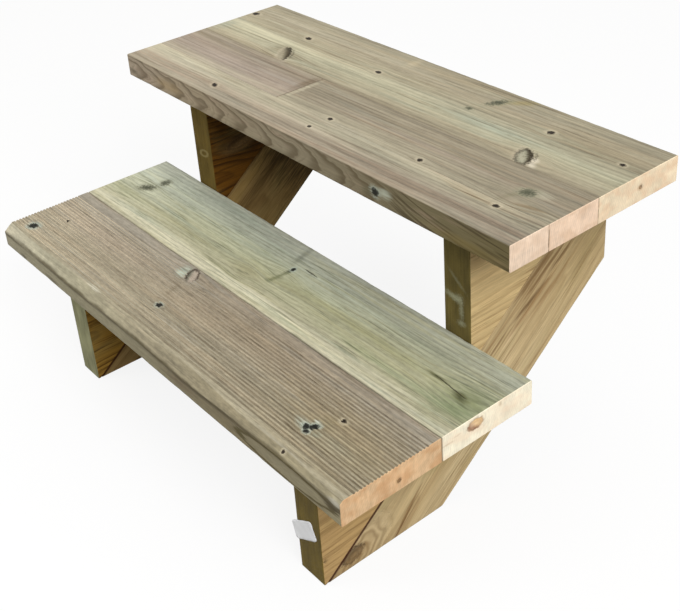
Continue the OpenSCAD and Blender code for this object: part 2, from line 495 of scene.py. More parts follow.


# ---------------------------------------------------------------- treads

# One entry for each board of the treads. The distances v are from the tread's back
# edge and the depths w from its top. A knot is (u, v, w, half length, half width,
# half depth, tilt, look); a patch is (centre, half sizes, tilt, tint, share, softness)
# fall is painted light: how much each board is darkened towards its right end, the left end
# lit more
TREADS = {
    "lower_tread_back_board": dict(
        slot="green_board", back=-0.25, seed=2.0, wander=6.0, fall=0.00034,
        bands=[
            (0, (180, 182, 166)), (22, (178, 181, 164)), (48, (176, 180, 159)),
            (72, (177, 178, 150)), (98, (179, 177, 146)), (116, (188, 184, 154)),
            (128, (206, 201, 174)), (145, (200, 195, 168)),
        ],
        rings=(-55.0, 60.0, 0.045, 6.0, 10.0), ring_share=0.16, streak=(0.64, 0.80, 0.20),
        warm=(180, 174, 132), cool=(152, 164, 146), line_tint=(108, 112, 82),
        end=(250, 241, 216), end_tan=(247, 221, 190), saw_marks=0.12,
        end_patches=[
            ((400, 60, 5), (20, 4.0, 4.0), 0, (164, 146, 110), 0.6, 0.9),
            ((400, 136, 15), (20, 11, 1.6), 0, (186, 166, 132), 0.6, 1.0),
            ((400, 120, 11), (20, 10, 1.4), 0, (196, 178, 146), 0.5, 1.0),
            ((400, 48, 18), (20, 40, 16), 0, (249, 220, 192), 0.26, 1.0),
        ],
        knots=[
            (-335, 43, 0, 8, 6, 16, 80, MOSSY), (-343, 71, 0, 12, 7, 20, -35, MOSSY),
            (12, 53, 0, 4.5, 3.5, 20, 60, DEAD),
            (400, 93, 11, 30, 11, 7, 0, SOUND),
        ],
        turns=[
            (12, 75, 0, 18, 10, 60, 0), (398, 78, 0, 34, 16, 60, 0),
            (-30, 108, 0, 14, 8, 60, 0),
        ],
        patches=[
            ((12, 62, 0), (4.5, 12, 16), 4, (46, 52, 30), 0.90, 1.0),
            ((11, 79, 0), (5.0, 13, 16), 9, (92, 100, 66), 0.70, 1.0),
            ((8, 90, 0), (8.0, 7, 16), 0, (128, 134, 96), 0.50, 1.0),
            ((290, 50, 0), (190, 70, 60), 0, (168, 162, 122), 0.30, 1.0),
            ((-345, 55, 0), (120, 66, 60), 0, (208, 210, 190), 0.40, 1.0),
            ((-6, 22, 0), (6, 30, 16), -18, (100, 102, 86), 0.5, 1.0),
            ((374, 92, 0), (54, 34, 60), -12, (98, 118, 78), 0.60, 1.0),
            ((348, 56, 0), (12, 2.6, 16), 0, (120, 124, 98), 0.5, 1.0),
            ((318, 74, 0), (18, 2.4, 16), 3, (72, 76, 44), 0.85, 0.9),
            ((364, 79, 0), (15, 3.6, 16), 8, (58, 62, 36), 0.90, 0.9),
            ((-280, 30, 0), (120, 30, 60), 0, (168, 176, 160), 0.4, 1.0),
            ((160, 78, 0), (230, 9, 60), 0, (150, 146, 98), 0.45, 1.0),
            ((-30, 100, 0), (46, 14, 60), 0, (140, 130, 88), 0.35, 1.0),
            ((250, 106, 0), (120, 8, 60), 0, (132, 144, 104), 0.4, 1.0),
            ((-50, 56, 0), (70, 6, 60), 0, (124, 130, 110), 0.4, 1.0),
            ((-360, 100, 0), (50, 14, 60), 0, (146, 148, 108), 0.35, 1.0),
        ],
        cracks=[
            ((22, 41, 0), (52, 42, 0), 1.6), ((312, 73, 0), (374, 80, 0), 1.0),
        ],
    ),
    "lower_tread_ribbed_board": dict(
        slot="ribbed_board", back=-0.25, seed=5.0, wander=4.0, fall=0.00012,
        bands=[
            (145, (150, 142, 127)), (152, (156, 148, 133)), (168, (158, 150, 134)),
            (186, (161, 152, 134)), (212, (162, 152, 131)), (240, (162, 153, 131)),
            (262, (163, 154, 132)), (276, (163, 154, 130)), (290, (164, 156, 132)),
        ],
        rings=(60.0, 150.0, 0.03, 6.0, 10.0), ring_share=0.10, streak=(0.44, 0.72, 0.24),
        warm=(164, 145, 118), cool=(152, 148, 136), line_tint=(104, 92, 70),
        end=(216, 182, 142), end_tan=(190, 132, 80), saw_marks=0.50,
        end_patches=[((400, 205, 14), (20, 28, 16), 0, (234, 190, 144), 0.55, 1.0)],
        knots=[
            (-74, 162, 0, 16.5, 8.5, 40, 50, RING), (-47, 232, 0, 5.5, 4.5, 30, 0, DEAD),
            (-366, 257, 0, 9, 7, 30, -30, DEAD), (-340, 212, 0, 4.0, 3.0, 20, 30, PIN),
            (304, 205, 0, 4.4, 3.6, 20, 0, PIN), (288, 235, 0, 6.5, 5.0, 40, -60, DEAD),
            (281, 241, 0, 6.0, 4.2, 40, 20, DEAD), (287, 246, 0, 4.4, 3.4, 40, 0, DEAD),
            (295, 284, 0, 3.0, 2.2, 16, 0, PIN), (400, 209, 21, 20, 2.6, 2.6, 0, BRANCH),
        ],
        turns=[],
        patches=[
            ((-92, 164, 0), (13, 11, 60), 20, (190, 206, 190), 0.62, 1.0),
            ((-66, 199, 0), (4.5, 17, 60), -22, (112, 102, 80), 0.65, 1.0),
            ((-145, 282, 0), (18, 12, 60), 0, (208, 204, 184), 0.7, 0.9),
            ((-250, 196, 0), (150, 22, 60), 0, (160, 144, 126), 0.5, 1.0),
            ((110, 186, 0), (200, 28, 60), 0, (154, 136, 110), 0.5, 1.0),
            ((-20, 206, 0), (90, 22, 60), 0, (168, 150, 126), 0.35, 1.0),
            ((292, 222, 0), (14, 26, 60), 35, (126, 120, 96), 0.45, 1.0),
            ((330, 220, 0), (130, 60, 60), 0, (162, 144, 102), 0.35, 1.0),
            ((284, 229, 0), (5.0, 3.5, 20), 0, (222, 228, 214), 0.7, 0.9),
            ((270, 240, 0), (12, 5, 20), 10, (188, 196, 180), 0.6, 1.0),
            ((300, 241, 0), (9, 5, 20), -20, (180, 184, 162), 0.5, 1.0),
            ((268, 254, 0), (16, 2.2, 16), 8, (92, 82, 62), 0.6, 1.0),
            ((276, 250, 0), (40, 6, 60), 8, (112, 100, 78), 0.35, 1.0),
            ((330, 238, 0), (30, 12, 60), 0, (176, 174, 152), 0.35, 1.0),
        ],
    ),
    "upper_tread_back_board": dict(
        slot="planed_board", back=0.0, seed=9.0, wander=6.0, fall=0.00040,
        bands=[
            (0, (158, 150, 128)), (18, (162, 154, 131)), (34, (178, 169, 145)),
            (50, (168, 158, 134)), (62, (166, 157, 132)), (76, (176, 168, 142)),
            (86, (187, 181, 154)), (104, (186, 181, 153)), (122, (178, 170, 143)),
            (138, (170, 160, 135)), (145, (158, 148, 125)),
        ],
        rings=(-80.0, 90.0, 0.04, 7.0, 12.0), ring_share=0.13, streak=(0.82, 0.70, 0.11),
        warm=(166, 150, 122), cool=(170, 174, 152), line_tint=(116, 102, 76),
        end=(240, 221, 190), end_tan=(226, 184, 146), saw_marks=0.12,
        knots=[
            (-391, 51, 0, 7.5, 6.5, 30, 0, PIN), (-237, 62, 0, 8, 5.2, 30, 25, PIN),
            (-57, 76, 0, 6, 4.6, 30, 20, PIN), (124, 75, 0, 5, 3, 20, 0, MOSSY),
            (251, 57, 0, 6, 5.4, 30, 0, PIN), (369, 65, 0, 5, 4, 30, 0, PIN),
            (140, 37, 0, 13, 5.5, 24, -58, MOSSY), (-216, 126, 0, 23, 9.5, 60, 50, DARK_OVAL),
            (270, 128.5, 0, 20, 10.5, 60, 57, OVAL), (400, 70, 16, 20, 3, 2.5, 0, BRANCH),
        ],
        turns=[],
        patches=[
            ((164, 18, 0), (32, 9, 60), -42, (160, 146, 94), 0.6, 0.9),
            ((-42, 20, 0), (10, 18, 60), -10, (202, 188, 156), 0.55, 1.0),
            # The pale patches beside the two oval knots are painted highlights.
            ((291, 134, 0), (12, 5.5, 60), 38, (222, 212, 190), 0.85, 0.8),
            ((-196, 138, 0), (13, 7, 60), 48, (212, 200, 178), 0.60, 1.0),
            ((190, 97, 0), (70, 14, 60), 0, (184, 194, 174), 0.5, 1.0),
            ((-300, 100, 0), (120, 26, 60), 0, (196, 190, 162), 0.35, 1.0),
            ((-235, 112, 0), (16, 24, 60), 50, (120, 110, 84), 0.45, 1.0),
            ((330, 50, 0), (120, 30, 60), 0, (164, 148, 116), 0.4, 1.0),
            ((-150, 74, 0), (240, 5, 60), 0, (150, 138, 112), 0.4, 1.0),
            ((120, 140, 0), (300, 5, 60), 0, (152, 142, 118), 0.4, 1.0),
            ((60, 20, 0), (110, 20, 60), 0, (166, 150, 120), 0.35, 1.0),
            ((-390, 110, 0), (16, 30, 60), 0, (158, 160, 142), 0.5, 1.0),
        ],
    ),
    "upper_tread_short_stave": dict(
        slot="planed_stave", back=0.0, seed=13.0, wander=4.0, fall=0.00030,
        bands=[
            (145, (150, 139, 118)), (150, (160, 149, 129)), (155, (158, 146, 127)),
            (159, (136, 124, 103)), (165, (152, 140, 121)), (178, (160, 147, 131)),
            (200, (165, 151, 135)), (216, (168, 157, 138)), (228, (175, 166, 145)),
        ],
        rings=(60.0, 120.0, 0.02, 6.0, 8.0), ring_share=0.10, streak=(0.66, 0.56, 0.12),
        warm=(168, 148, 130), cool=(164, 156, 144), line_tint=(122, 106, 86),
        end=(234, 207, 182), end_tan=(212, 178, 146), saw_marks=0.20, knots=[], turns=[],
        patches=[
            ((-103, 172, 0), (9, 30, 60), 0, (120, 104, 80), 0.72, 0.9),
            ((-260, 200, 0), (120, 16, 60), 0, (170, 156, 144), 0.4, 1.0),
        ],
    ),
    "upper_tread_long_stave": dict(
        slot="planed_stave", back=0.0, seed=17.0, wander=4.0, fall=0.00034,
        bands=[
            (145, (144, 134, 113)), (152, (152, 142, 121)), (170, (154, 144, 123)),
            (182, (150, 140, 119)), (200, (154, 144, 124)), (212, (166, 157, 134)),
            (228, (180, 171, 147)),
        ],
        rings=(-10.0, 90.0, 0.03, 6.0, 10.0), ring_share=0.14, streak=(0.76, 0.68, 0.12),
        warm=(164, 142, 116), cool=(152, 148, 132), line_tint=(112, 99, 76),
        end=(236, 208, 182), end_tan=(212, 176, 142), saw_marks=0.22,
        knots=[
            (335, 191, 0, 9, 7, 30, -20, MOSSY), (14, 222, 0, 5.4, 4.0, 30, 30, PIN),
            (186, 221, 0, 5.2, 4.0, 30, 30, PIN),
        ],
        turns=[(330, 215, 0, 20, 8, 60, 0)],
        patches=[
            ((326, 208, 0), (5, 16, 60), 25, (128, 122, 92), 0.55, 1.0),
            ((-91, 184, 0), (5, 34, 60), 0, (198, 188, 162), 0.72, 0.8),
            ((300, 205, 0), (60, 10, 60), 0, (158, 150, 126), 0.4, 1.0),
            ((120, 172, 0), (280, 4, 60), 0, (134, 124, 102), 0.45, 1.0),
            ((160, 190, 0), (200, 5, 60), 0, (160, 148, 134), 0.4, 1.0),
            ((352, 186, 0), (16, 8, 60), 0, (182, 178, 156), 0.6, 1.0),
            ((362, 216, 0), (40, 2.0, 16), -8, (128, 108, 76), 0.6, 0.9),
            ((346, 224, 0), (50, 1.6, 16), -7, (128, 108, 76), 0.55, 0.9),
        ],
    ),
    "upper_tread_front_stave": dict(
        slot="planed_stave", back=0.0, seed=23.0, wander=5.0, fall=0.00060,
        bands=[
            (228, (180, 171, 147)), (240, (184, 176, 151)), (250, (176, 167, 144)),
            (262, (166, 155, 135)), (268, (158, 146, 126)), (276, (163, 152, 133)),
            (290, (156, 146, 126)),
        ],
        rings=(20.0, 60.0, 0.03, 6.0, 10.0), ring_share=0.13, streak=(0.76, 0.66, 0.11),
        warm=(174, 148, 124), cool=(172, 170, 150), line_tint=(122, 106, 84),
        end=(236, 211, 187), end_tan=(214, 184, 156), saw_marks=0.16,
        knots=[
            (11, 255, 0, 4.2, 3.2, 30, 30, PIN), (330, 238, 0, 5, 4.4, 30, 0, PIN),
            (-197, 264, 0, 8, 4.6, 30, 30, PIN), (181, 290, 19, 7, 20, 5, 0, DEAD),
        ],
        turns=[(316, 226, 0, 26, 8, 60, 0)],
        patches=[
            ((300, 234, 0), (70, 8, 60), 0, (172, 152, 120), 0.45, 1.0),
            ((290, 236, 0), (34, 1.6, 16), -7, (108, 88, 56), 0.75, 0.9),
            ((372, 244, 0), (34, 1.4, 16), -5, (122, 100, 68), 0.6, 0.9),
            ((60, 270, 0), (340, 4, 60), 0, (140, 128, 110), 0.45, 1.0),
            ((-300, 244, 0), (110, 14, 60), 0, (192, 186, 164), 0.35, 1.0),
        ],
    ),
}

# The upper tread is one glued panel, so the joints between its pieces lie flush
GLUED = ("upper_tread_back_board", "upper_tread_short_stave",
         "upper_tread_long_stave", "upper_tread_front_stave")


def joint_sides(node):
    """The sides of a board, as -1 front and 1 back, that meet another board."""
    lo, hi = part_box(node)
    back = TREADS[node]["back"]
    front = back - TREAD_DEPTH * MM
    return [s for s, y, free in ((-1, lo.y, front), (1, hi.y, back)) if abs(y - free) > MM]


def tread_finish(node, board):
    lo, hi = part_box(node)
    wood = Wood(
        node + "_finish", (0.0, board["back"], hi.z), (1, 0, 0), (0, -1, 0), (0, 0, -1),
        board["seed"],
    )
    knots = [k[:7] for k in board["knots"]]
    large = [k for k in knots if k[3] > 5.0]
    wood.start(large + board["turns"], board["wander"])
    u, v, w = wood.u, wood.v, wood.w

    fine = wood.streaks(80.0, 1.3, 0.3, 3.0)
    medium = wood.streaks(230.0, 4.2, 0.9, 3.0)
    broad = wood.streaks(420.0, 17.0, 1.9, 2.0)
    pores = wood.cloud(wood.grain, (9.0, 1.1, 1.1), wood.seed + 4.4, 3.0)
    weather = wood.spots((60.0, 22.0, 22.0), 12.7, 3.0)
    mottle = wood.spots((13.0, 5.5, 5.5), 16.3, 2.0)

    bands = [(at / 300, paint(*colour)) for at, colour in board["bands"]]
    colour = wood.ramp((wood.bent_v + (broad - 0.5) * 12) / 300, bands)
    pith_v, pith_w, taper, spacing, wobble = board["rings"]
    late = wood.late_wood(pith_v, pith_w, taper, spacing, wobble)
    s_broad, s_medium, s_fine = board["streak"]
    # The fall darkens each board towards its right end: painted light, standing for the left
    # end being lit more.
    tone = (
        (1.02 if board["back"] else 0.99)
        - u * board["fall"]
        + (broad - 0.5) * s_broad
        + (medium - 0.5) * s_medium
        + (fine - 0.5) * s_fine
        + (pores - 0.5) * 0.40
        + (weather - 0.5) * 0.30
        + (mottle - 0.5) * (0.40 if board["back"] else 0.14)
        - late * board["ring_share"]
    )
    warm = wood.smooth(wood.streaks(300.0, 11.0, 6.1), 0.50, 0.70)
    cool = wood.smooth(wood.streaks(260.0, 14.0, 8.3), 0.52, 0.72)
    colour = wood.mix(warm * 0.36, colour, paint(*board["warm"]))
    colour = wood.mix(cool * 0.38, colour, paint(*board["cool"]))
    for centre, half_sizes, tilt, tint, share, soft in board["patches"]:
        colour = wood.patch(colour, centre, half_sizes, tilt, tint, share, soft)
    line_tint = paint(*board["line_tint"])
    thin_lines = 0.55 if board["back"] else 0.36
    colour = wood.grain_lines(colour, 60.0, 1.8, 11.3, 0.54, thin_lines, line_tint)
    colour = wood.grain_lines(colour, 150.0, 4.2, 14.9, 0.55, 0.50, line_tint)
    colour = wood.scaled(colour, tone)

    if node == "lower_tread_ribbed_board":
        beads = wood.spots((7.0, 2.2, 7.0), 3.9, 2.0)
        colour = wood.scaled(colour, 1.0 + (beads - 0.5) * 0.5)
        # The grooves are painted pale towards the left end, as painted light that lifts their
        # shade, and dark towards the right end, as painted shade.
        groove = (
            wood.smooth(w, 0.15, 1.0)
            * (1 - wood.smooth(v, 274, 276))
            * (1 - wood.smooth(w, 2.0, 3.0))
        )
        painted_light_share = 1 - wood.smooth(u, -420.0, 320.0)
        painted_light_groove = wood.scaled(paint(206, 192, 166)[:3], tone)
        colour = wood.mix(groove * 0.55 * painted_light_share, colour, painted_light_groove)
        colour = wood.mix(groove * 0.46 * (1 - painted_light_share), colour, paint(88, 74, 50))
    if -1 not in joint_sides(node):
        colour = edge_colour(wood, node, colour, tone)

    colour = lay_knots(wood, colour, [k for k in board["knots"] if k[0] < END_KNOTS])
    for start, end, width in board.get("cracks", ()):
        colour = wood.crack(colour, start, end, width)

    # The sawn ends of the tread
    half_tread = (cad_box[1].x - cad_box[0].x) * 500
    sawn = wood.smooth(abs(u), half_tread - 0.9, half_tread - 0.25)
    fleck = wood.spots((9.0, 1.8, 9.0), 8.2, 3.0)
    blush = wood.spots((30.0, 22.0, 15.0), 5.2, 3.0)
    saw_marks = wood.spots((9.0, 5.0, 40.0), 9.9, 3.0)
    end_rings = wood.late_wood(pith_v, pith_w, 0.0, 3.6, 5.0)
    end = wood.scaled(
        paint(*board["end"])[:3],
        1.0
        + (fleck - 0.5) * 0.34
        + (blush - 0.5) * 0.54
        + (saw_marks - 0.5) * board["saw_marks"]
        - end_rings * 0.07,
    )
    for stain in board.get("end_patches", ()):
        end = wood.patch(end, *stain)
    sawn_knots = [k for k in board["knots"] if k[0] >= END_KNOTS]
    for look in (BRANCH, SOUND):
        end = wood.oval_knots(end, with_look(sawn_knots, look), look)
    tan = wood.smooth(wood.spots((40.0, 26.0, 17.0), 7.1, 2.0), 0.42, 0.66)
    end = wood.mix(tan * 0.42, end, paint(*board["end_tan"]))
    colour = wood.mix(sawn, colour, end)

    # Dirt in the joints, which shows least where the boards are glued flush
    glued = node in GLUED
    broken = wood.smooth(wood.cloud(wood.point, (60.0, 60.0, 9.0), 2.9, 1.0), 0.38, 0.60)
    for side in joint_sides(node):
        joint_v = (board["back"] - (lo.y if side < 0 else hi.y)) * 1000
        near = 1 - wood.smooth(abs(v - joint_v), 0.2, 1.6 if glued else 1.9)
        faint = 0.6 if joint_v < 200 else 1.0
        share = sawn * (broken * 0.50 + 0.16) * faint + 0.14 if glued else sawn * 0.3 + 0.40
        dirt = wood.mix(sawn, paint(78, 62, 42), paint(112, 88, 58))
        colour = wood.mix(near * share, colour, dirt)
    for at in (lo.x, hi.x):
        if abs(abs(at) - half_tread * MM) > MM:
            near = 1 - wood.smooth(abs(u - at * 1000), 0.3, 1.6)
            colour = wood.mix(near * 0.5, colour, paint(84, 68, 46))
    rough = 0.68 - (fine - 0.5) * 0.22 + late * 0.05
    relief = (
        fine * 0.55 + medium * 0.3 + pores * 0.3 - late * 0.22 - wood.lines * 0.3
    ) * (1 - sawn) + (fleck * 0.6 - end_rings * 0.2) * sawn
    return wood.done(colour, rough, relief, 0.40)


def along_board(wood, colours):
    """Colours at shares of the tread's length from its left end, blended between."""
    return wood.ramp(
        (wood.u + HALF_LENGTH) / (2 * HALF_LENGTH),
        [(share, paint(*colour)) for share, colour in colours.items()],
    )


def edge_colour(wood, node, colour, tone):
    """The front face of a tread, which shows its own figure."""
    u, v, w = wood.u, wood.v, wood.w
    face = wood.smooth(v, TREAD_DEPTH - 1.9, TREAD_DEPTH - 0.7) * wood.smooth(w, 0.3, 1.1)
    streak = wood.spots((130.0, 40.0, 2.4), 2.6, 3.0)
    patchy = wood.spots((70.0, 60.0, 14.0), 6.6, 2.0)
    if node == "upper_tread_front_stave":
        # Repeated flames along the edge, each bowed towards the right
        sway = wood.spots((60.0, 400.0, 20.0), 5.5, 2.0)
        dw = w - 19.0 - (sway - 0.5) * 8.0
        bow = (dw * dw + 60.0) ** 0.5
        phase = (u + bow * 3.4 - dw * 1.0 + (sway - 0.5) * 66.0) / 54.0
        flame = wood.pulse(phase, (0.38, 0.88), (0.89, 0.99))
        thin = wood.pulse(phase * 3.0 + sway * 2.0, (0.35, 0.8), (0.82, 0.98))
        flame = wood.most(flame, thin * wood.smooth(patchy, 0.35, 0.6) * 0.45)
        right = wood.smooth(u, 186.0, 232.0)
        flame = flame * (1 - right)
        away = (200.0 - u) / 80.0
        falling = wood.vector(u, v, w + away.math("EXPONENT", away) * 30.0 - u * 0.05)
        stroke = wood.cloud(falling, (120.0, 40.0, 3.4), wood.seed + 2.6, 2.0)
        straight = wood.smooth(stroke, 0.50, 0.62) * right
        # The face is painted lighter towards the left end, partly painted light, the left end
        # lit more.
        base = along_board(wood, {
            0.0: (170, 156, 136), 0.25: (162, 148, 124), 0.5: (146, 136, 114),
            0.7: (134, 124, 100), 0.8: (122, 113, 86), 1.0: (108, 98, 66),
        })
        edge = wood.scaled(base, 1.09 + (streak - 0.5) * 0.55 + (patchy - 0.5) * 0.30)
        edge = wood.mix(wood.smooth(patchy, 0.52, 0.7) * 0.3, edge, paint(172, 148, 130))
        edge = wood.mix(flame * 0.64, edge, paint(84, 70, 46))
        edge = wood.mix(straight * 0.70, edge, paint(66, 55, 34))
        for at_u, at_w, half_u, half_w, tint, share, soft in (
            (198, 15, 13, 7, (196, 202, 184), 0.75, 0.9),
            (168, 22, 12, 8, (92, 88, 66), 0.5, 0.9),
            (340, 28, 66, 9, (132, 116, 70), 0.6, 1.0),
            (-285, 20, 40, 10, (176, 150, 106), 0.45, 1.0),
            (-388, 25, 14, 5, (92, 84, 66), 0.7, 0.9),
        ):
            centre, half_sizes = (at_u, TREAD_DEPTH, at_w), (half_u, 20, half_w)
            edge = wood.patch(edge, centre, half_sizes, 0, tint, share, soft)
        top_line = 1 - wood.smooth(w, 1.4, 5.0)
        edge = wood.mix(top_line * 0.42, edge, paint(88, 78, 58))
        return wood.mix(face, colour, edge)
    # The wane: a pale band of outer wood over the darker sawn face
    depth = wood.ramp(
        (u + HALF_LENGTH) / (2 * HALF_LENGTH),
        [
            (i / 8, (d / 20,) * 3 + (1.0,))
            for i, d in enumerate((10.5, 9.6, 12.2, 9.4, 8.4, 13.0, 9.0, 6.5, 11.5))
        ],
    )
    sway = wood.spots((50.0, 60.0, 60.0), 5.5, 2.0)
    below = w - wood.parts(depth)[0] * 20 - (sway - 0.5) * 5.0
    # Both ramps below are lighter towards the left end, partly painted light, the left end lit
    # more.
    base = along_board(wood, {
        0.0: (160, 153, 129), 0.25: (155, 148, 122), 0.5: (148, 140, 114),
        0.75: (132, 121, 94), 1.0: (154, 145, 116),
    })
    rough = wood.spots((11.0, 11.0, 3.2), 4.8, 3.0)
    edge = wood.scaled(
        base, 1.09 + (streak - 0.5) * 0.6 + (patchy - 0.5) * 0.5 + (rough - 0.5) * 0.35
    )
    outer = along_board(wood, {
        0.0: (184, 177, 154), 0.12: (176, 170, 146), 0.3: (162, 155, 130),
        0.5: (151, 142, 118), 0.75: (146, 136, 110), 1.0: (152, 143, 116),
    })
    pale = wood.scaled(outer, tone + (streak - 0.5) * 0.5 + (rough - 0.5) * 0.3)
    edge = wood.mix(wood.smooth(below, -0.6, 0.9), pale, edge)
    heavy = wood.smooth(patchy, 0.25, 0.6)
    line = wood.smooth(below, -2.4, 0.1) * (1 - wood.smooth(below, 1.2, 7.5))
    edge = wood.mix(line * (heavy * 0.34 + 0.44), edge, paint(64, 54, 28))
    for centre, half_sizes, tint, share, soft, rim in (
        ((300, 290, 20), (84, 40, 10.5), (158, 150, 124), 0.60, 0.8, 0),
        ((300, 290, 20), (87, 40, 11.5), (84, 74, 40), 0.88, 0.6, 0.15),
        ((216, 290, 20), (7, 40, 7), (92, 82, 48), 0.4, 1.0, 0),
        ((-342, 290, 30), (12, 30, 4.0), (70, 64, 48), 0.65, 0.9, 0),
        ((-255, 290, 29), (24, 30, 4.0), (74, 66, 50), 0.60, 0.9, 0),
        ((90, 290, 22), (46, 30, 7.0), (104, 86, 64), 0.55, 1.0, 0),
        ((386, 290, 16), (20, 30, 5.0), (70, 60, 40), 0.70, 0.9, 0),
        ((392, 286, 7), (12, 30, 4.5), (216, 212, 196), 0.70, 0.9, 0),
    ):
        edge = wood.patch(edge, centre, half_sizes, 0, tint, share, soft, rim)
    edge = wood.scaled(edge, 1.0 + (rough - 0.5) * 0.34)
    wane = wood.most(face, wood.smooth(v, 274.5, 276.5) * wood.smooth(w, 0.3, 1.2))
    return wood.mix(wane, colour, edge)


# ---------------------------------------------------------------- stringers

SLOPE = math.atan2(RISE, GOING)
ALONG_SLOPE = (0.0, math.cos(SLOPE), math.sin(SLOPE))
DOWN_SLOPE = (0.0, math.sin(SLOPE), -math.cos(SLOPE))

# One entry for each timber. On the sloping boards u runs up the slope and v away
# from the joint with the blocks; on a block u runs back and v down from its seat.
# w runs from the inner face outwards
TIMBERS = {
    # Its base colour is darker than the right board's, partly as painted shade, and the
    # near-black patch at u 500, v 50 on its inner face is a painted shadow under the treads.
    "left_stringer_board": dict(
        slot="stringer_timber", seed=31.0, base=(158, 131, 84), brown=(98, 72, 36),
        pith=(70.0, 120.0), taper=0.05, spacing=7.0, ring_share=0.20,
        knots=[(300, 84, 22, 12, 7, 60, 14, BRANCH)], joint=0.9,
        patches=[
            ((430, 38, 0), (200, 12, 30), 0, (86, 64, 32), 0.6, 1.0),
            ((370, 12, 0), (120, 12, 30), 0, (176, 146, 88), 0.7, 1.0),
            ((380, 98, 0), (90, 16, 30), 0, (150, 124, 76), 0.5, 1.0),
            ((560, 60, 0), (250, 90, 16), 0, (92, 74, 36), 0.5, 1.0),
            ((500, 50, 0), (84, 130, 16), 0, (26, 15, 5), 0.88, 0.8),
        ],
    ),
    "right_stringer_board": dict(
        slot="stringer_timber", seed=37.0, base=(192, 169, 126), brown=(132, 104, 64),
        pith=(52.0, -28.0), taper=0.045, spacing=8.0, ring_share=0.15,
        knots=[
            (46, 20, 45, 66, 36, 60, 4, SWIRL), (50, 11, 45, 17, 10, 60, 26, BRANCH),
            (560, 30, 45, 5, 3, 20, 0, PIN),
        ],
        patches=[
            ((462, 16, 45), (92, 26, 40), 2, (166, 140, 100), 0.62, 1.0),
            ((474, 5, 45), (74, 6, 40), 2, (112, 83, 48), 0.8, 0.9),
            ((430, 27, 45), (44, 4.0, 40), 9, (100, 71, 38), 0.85, 0.8),
            ((508, 31, 45), (36, 3.6, 40), 3, (96, 68, 36), 0.85, 0.8),
            ((468, 17, 45), (66, 3.2, 40), 4, (112, 82, 46), 0.75, 0.8),
            ((362, 21, 45), (28, 2.6, 40), 0, (118, 88, 52), 0.7, 0.8),
            ((348, 9, 45), (44, 3.4, 40), 1, (130, 98, 60), 0.6, 0.9),
            ((378, 34, 45), (24, 5, 40), 0, (210, 188, 150), 0.6, 0.9),
            ((450, 46, 45), (52, 3.0, 40), 3, (124, 92, 54), 0.55, 0.9),
            ((60, 9, 45), (16, 8, 40), 18, (104, 74, 36), 0.3, 1.0),
            ((112, 50, 45), (52, 4.0, 40), -8, (112, 78, 38), 0.75, 0.8),
            ((108, 51, 45), (44, 1.4, 40), -7, (74, 46, 20), 0.85, 0.8),
            ((96, 20, 45), (18, 12, 40), 0, (208, 188, 148), 0.55, 1.0),
            ((418, 34, 45), (70, 4, 40), 2, (140, 104, 62), 0.6, 0.9),
            ((470, 50, 45), (80, 4, 40), 1, (130, 98, 58), 0.5, 0.9),
            ((330, 96, 45), (160, 5, 40), 1, (206, 186, 136), 0.5, 1.0),
            ((345, 50, 45), (80, 36, 40), 0, (216, 194, 152), 0.4, 1.0),
            ((250, 92, 45), (220, 20, 40), 0, (208, 188, 148), 0.5, 1.0),
            ((150, 60, 45), (110, 9, 40), 3, (156, 128, 88), 0.5, 1.0),
            ((535, 60, 45), (60, 44, 40), 0, (140, 118, 78), 0.55, 1.0),
        ],
        joint=0.95,
    ),
    "lower_left_block": dict(
        slot="block_timber", seed=41.0, base=(162, 124, 54), brown=(84, 58, 20),
        pith=(120.0, -40.0), taper=0.05, spacing=8.0, ring_share=0.42,
        knots=[], patches=[], joint=0.95, front=(154, 153, 118),
    ),
    "lower_right_block": dict(
        slot="block_timber", seed=43.0, base=(182, 150, 100), brown=(122, 92, 52),
        pith=(60.0, -50.0), taper=0.04, spacing=8.0, ring_share=0.18,
        knots=[], patches=[], joint=1.0, front=(102, 86, 34),
    ),
    # Its base colour is dark partly as painted shade, and the near-black patch at u 100, v 52
    # on its inner face is a painted shadow under the tread.
    "upper_left_block": dict(
        slot="block_timber", seed=47.0, base=(104, 68, 20), brown=(52, 30, 8),
        pith=(150.0, -30.0), taper=0.07, spacing=8.0, ring_share=0.42,
        knots=[(52, 100, 0, 20, 8, 60, -8, BRANCH)],
        patches=[
            ((52, 100, 0), (44, 20, 60), 0, (54, 34, 14), 0.6, 1.0),
            ((100, 52, 0), (100, 78, 16), 0, (16, 8, 3), 0.90, 0.8),
            ((60, 150, 0), (110, 22, 16), 0, (128, 84, 28), 0.35, 1.0),
        ],
        joint=0.35, front=(102, 85, 42),
    ),
    "upper_right_block": dict(
        slot="block_timber", seed=53.0, base=(202, 176, 127), brown=(140, 110, 68),
        pith=(40.0, -60.0), taper=0.05, spacing=9.0, ring_share=0.15,
        knots=[], patches=[], joint=0.28, front=(98, 86, 44),
    ),
}


